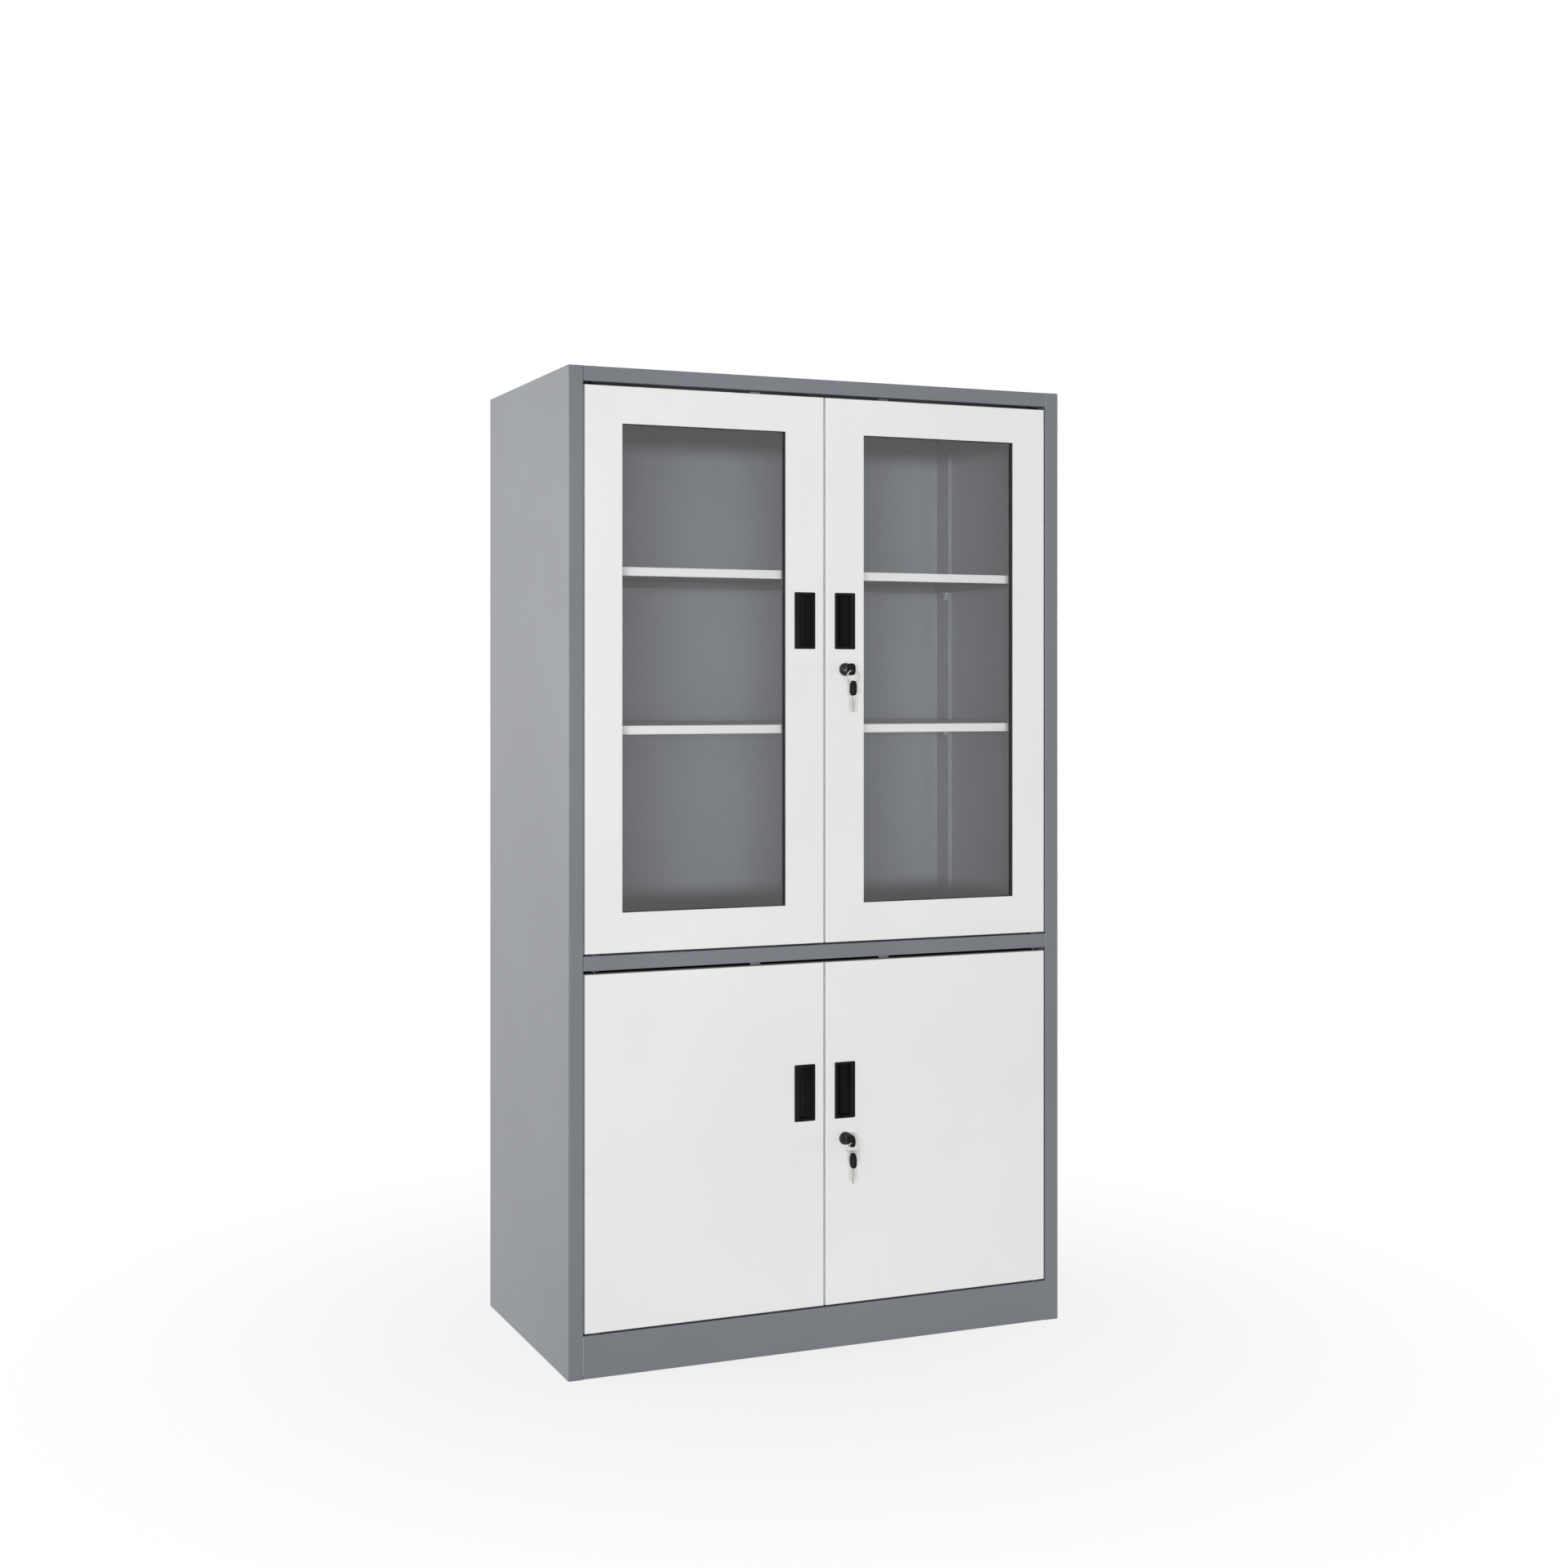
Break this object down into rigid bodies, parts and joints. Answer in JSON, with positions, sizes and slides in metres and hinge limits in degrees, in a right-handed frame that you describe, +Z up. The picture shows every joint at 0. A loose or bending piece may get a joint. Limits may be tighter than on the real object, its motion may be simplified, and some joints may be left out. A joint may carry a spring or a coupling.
{
  "type": "laboratory storage cabinet",
  "caption": "Tall grey and white steel storage cabinet with glazed hinged doors over solid hinged doors, adjustable shelves, recessed pulls and cam locks with keys.",
  "frame": {"origin": "middle of the overall bounding box on the floor, with the keys that stand out in front counted in", "axes": "+X to the right as seen from the front, +Y from the doors towards the back, +Z up"},
  "size_m": [1, 0.547, 1.8],
  "materials": {
    "body_paint": "satin grey powder coat",
    "door_paint": "satin white powder coat",
    "shelf_paint": "satin white powder coat",
    "glass": "clear float glass",
    "seal_rubber": "matt black rubber",
    "black_plastic": "fine-grained black moulding",
    "lock_black": "black lacquered die casting",
    "zinc_steel": "bright zinc plate",
    "nylon": "black nylon",
    "pin_steel": "oil-blackened steel"
  },
  "bodies": {
    "cabinet": {"left_side_panel": "body_paint", "right_side_panel": "body_paint", "top_panel": "body_paint", "middle_panel": "body_paint", "bottom_panel": "body_paint", "back_panel": "body_paint", "upper_shelf_uprights": "body_paint", "lower_shelf_uprights": "body_paint", "door_stops": "body_paint", "upper_shelf_1": "shelf_paint", "upper_shelf_2": "shelf_paint", "lower_shelf": "shelf_paint", "shelf_clips": "zinc_steel", "hinge_bushes": "nylon"},
    "upper_left_door": {"upper_left_door_frame": "door_paint", "upper_left_door_inner_frame": "door_paint", "upper_left_door_glass": "glass", "upper_left_door_seal": "seal_rubber", "upper_left_door_pull": "black_plastic", "upper_left_door_hinge_pins": "pin_steel", "upper_left_bolt_guide": "zinc_steel"},
    "upper_right_door": {"upper_right_door_frame": "door_paint", "upper_right_door_inner_frame": "door_paint", "upper_right_door_glass": "glass", "upper_right_door_seal": "seal_rubber", "upper_right_door_pull": "black_plastic", "upper_right_door_hinge_pins": "pin_steel", "upper_lock_barrel": "lock_black", "upper_lock_clamp": "zinc_steel"},
    "lower_left_door": {"lower_left_door_pan": "door_paint", "lower_left_door_stiffener": "door_paint", "lower_left_door_pull": "black_plastic", "lower_left_door_hinge_pins": "pin_steel", "lower_left_bolt_guide": "zinc_steel"},
    "lower_right_door": {"lower_right_door_pan": "door_paint", "lower_right_door_stiffener": "door_paint", "lower_right_door_pull": "black_plastic", "lower_right_door_hinge_pins": "pin_steel", "lower_lock_barrel": "lock_black", "lower_lock_clamp": "zinc_steel"},
    "upper_lock": {"upper_lock_plug": "lock_black", "upper_lock_cam": "zinc_steel", "upper_key_blade": "zinc_steel", "upper_key_head": "black_plastic"},
    "upper_spare_key": {"upper_key_ring": "zinc_steel", "upper_spare_key_blade": "zinc_steel", "upper_spare_key_head": "black_plastic"},
    "lower_lock": {"lower_lock_plug": "lock_black", "lower_lock_cam": "zinc_steel", "lower_key_blade": "zinc_steel", "lower_key_head": "black_plastic"},
    "lower_spare_key": {"lower_key_ring": "zinc_steel", "lower_spare_key_blade": "zinc_steel", "lower_spare_key_head": "black_plastic"},
    "upper_left_bolt": {"upper_left_slide_bolt": "zinc_steel"},
    "lower_left_bolt": {"lower_left_slide_bolt": "zinc_steel"}
  },
  "joints": [
    {"name": "upper_left_door_hinge", "type": "hinge", "parent": "cabinet", "child": "upper_left_door", "pos_m": [-0.449, -0.2165, 1.2605], "axis": [0, 0, -1], "range_deg": [0, 105]},
    {"name": "upper_right_door_hinge", "type": "hinge", "parent": "cabinet", "child": "upper_right_door", "pos_m": [0.449, -0.2165, 1.2605], "axis": [0, 0, 1], "range_deg": [0, 105]},
    {"name": "lower_left_door_hinge", "type": "hinge", "parent": "cabinet", "child": "lower_left_door", "pos_m": [-0.449, -0.2165, 0.399], "axis": [0, 0, -1], "range_deg": [0, 105]},
    {"name": "lower_right_door_hinge", "type": "hinge", "parent": "cabinet", "child": "lower_right_door", "pos_m": [0.449, -0.2165, 0.399], "axis": [0, 0, 1], "range_deg": [0, 105]},
    {"name": "upper_lock_turn", "type": "hinge", "parent": "upper_right_door", "child": "upper_lock", "pos_m": [0.041, -0.2265, 1.262], "axis": [0, 1, 0], "range_deg": [0, 90]},
    {"name": "upper_spare_key_swing", "type": "hinge", "parent": "upper_lock", "child": "upper_spare_key", "pos_m": [0.041, -0.2625, 1.262], "axis": [-1, 0, 0], "range_deg": [-15, 60]},
    {"name": "lower_lock_turn", "type": "hinge", "parent": "lower_right_door", "child": "lower_lock", "pos_m": [0.041, -0.2265, 0.388], "axis": [0, 1, 0], "range_deg": [0, 90]},
    {"name": "lower_spare_key_swing", "type": "hinge", "parent": "lower_lock", "child": "lower_spare_key", "pos_m": [0.041, -0.2625, 0.388], "axis": [-1, 0, 0], "range_deg": [-15, 60]},
    {"name": "upper_left_bolt_slide", "type": "slide", "parent": "upper_left_door", "child": "upper_left_bolt", "axis": [0, 0, 1], "range_m": [0, 0.014]},
    {"name": "lower_left_bolt_slide", "type": "slide", "parent": "lower_left_door", "child": "lower_left_bolt", "axis": [0, 0, 1], "range_m": [0, 0.014]}
  ]
}
